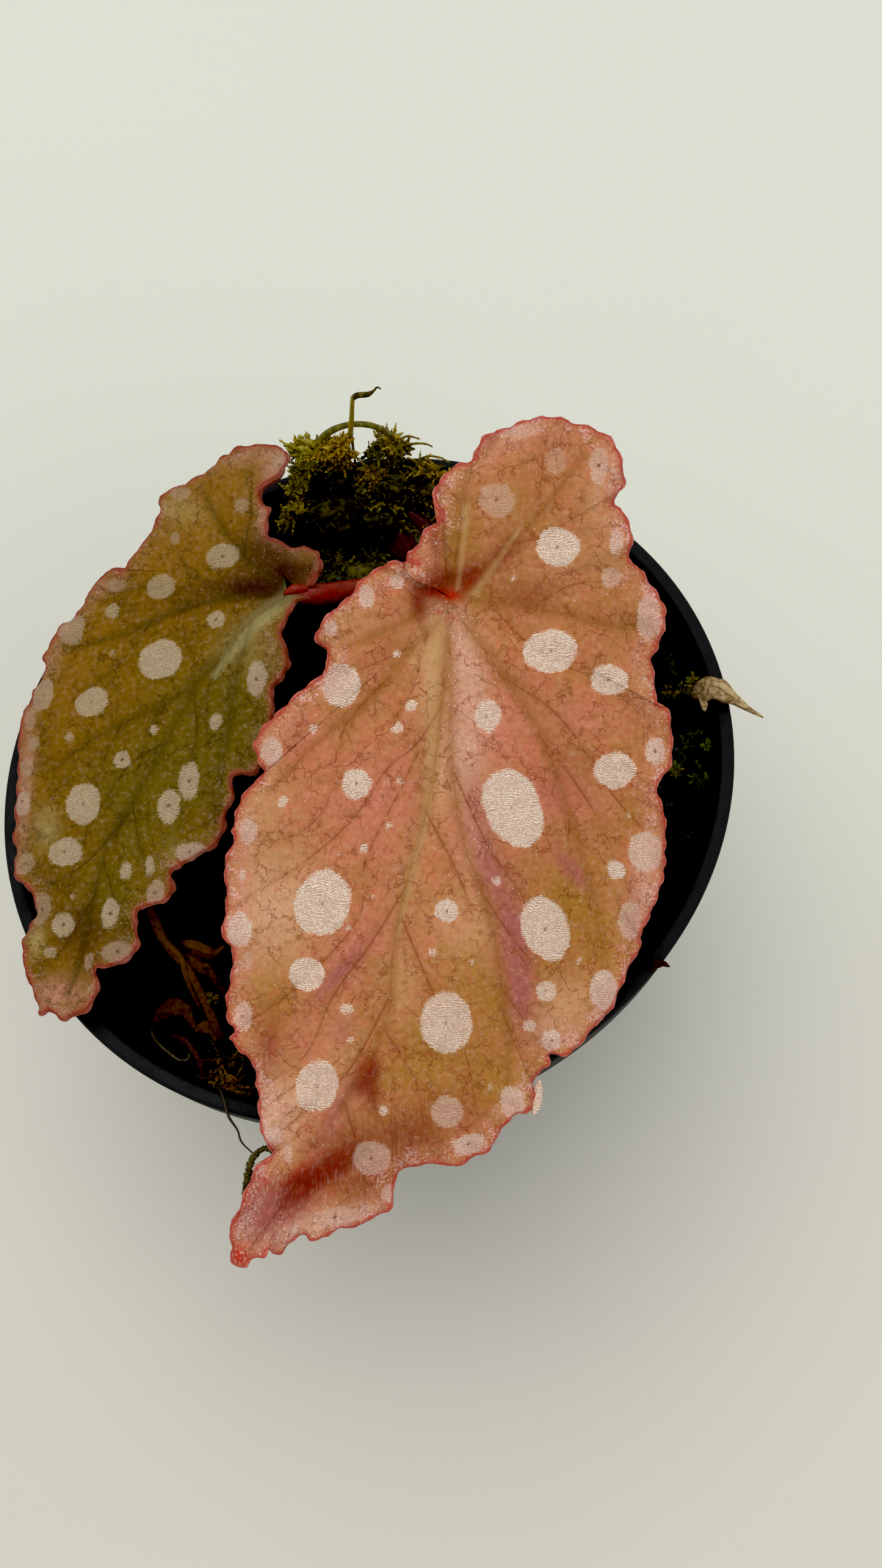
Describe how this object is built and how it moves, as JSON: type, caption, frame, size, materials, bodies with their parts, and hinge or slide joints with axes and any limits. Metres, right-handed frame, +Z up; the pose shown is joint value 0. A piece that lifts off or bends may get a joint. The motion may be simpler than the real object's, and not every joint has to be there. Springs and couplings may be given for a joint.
{
  "type": "potted polka dot begonia",
  "caption": "Small nursery pot of soil with a begonia whose ruffled, pale-spotted leaves lean over the rim, with moss at its foot.",
  "frame": {"origin": "centre of the pot's flat underside", "axes": "+Z up out of the pot; +Y towards the back, where the moss stands over the rim; the big leaf's tip points to -Y"},
  "size_m": [0.085, 0.0941, 0.0948],
  "materials": {
    "pot_plastic": "thin black moulded plastic with a satin grey sheen on the rim",
    "potting_soil": "moist dark peat with bark crumbs",
    "bronze_leaf": "salmon-bronze leaf with silvery pink spots, coral margin and fine glints",
    "olive_leaf": "olive-gold leaf with pale spots and coral margin",
    "red_petiole": "smooth juicy orange-red leaf stalk",
    "maroon_stem": "dark maroon stem and bud sheath",
    "golden_moss": "feathery yellow-green moss",
    "dark_moss": "feathery dark green moss",
    "olive_moss": "brown-olive moss strands",
    "dry_sheath": "dry papery tan sheath",
    "dead_brown": "withered brown stalk"
  },
  "bodies": {
    "root": {"pot": "pot_plastic", "soil": "potting_soil", "crown": "maroon_stem", "petiole_big": "red_petiole", "petiole_left": "red_petiole", "blade_big": "bronze_leaf", "blade_left": "olive_leaf", "bud": "maroon_stem", "young_shoot": "maroon_stem", "moss_back": "golden_moss", "moss_right": "dark_moss", "moss_front": "olive_moss", "dry_stipule": "dry_sheath", "dead_stem": "dead_brown", "dead_flake": "dead_brown", "thin_strand": "olive_moss", "root_and_moss": "olive_moss", "rim_scrap": "dead_brown"}
  },
  "joints": []
}
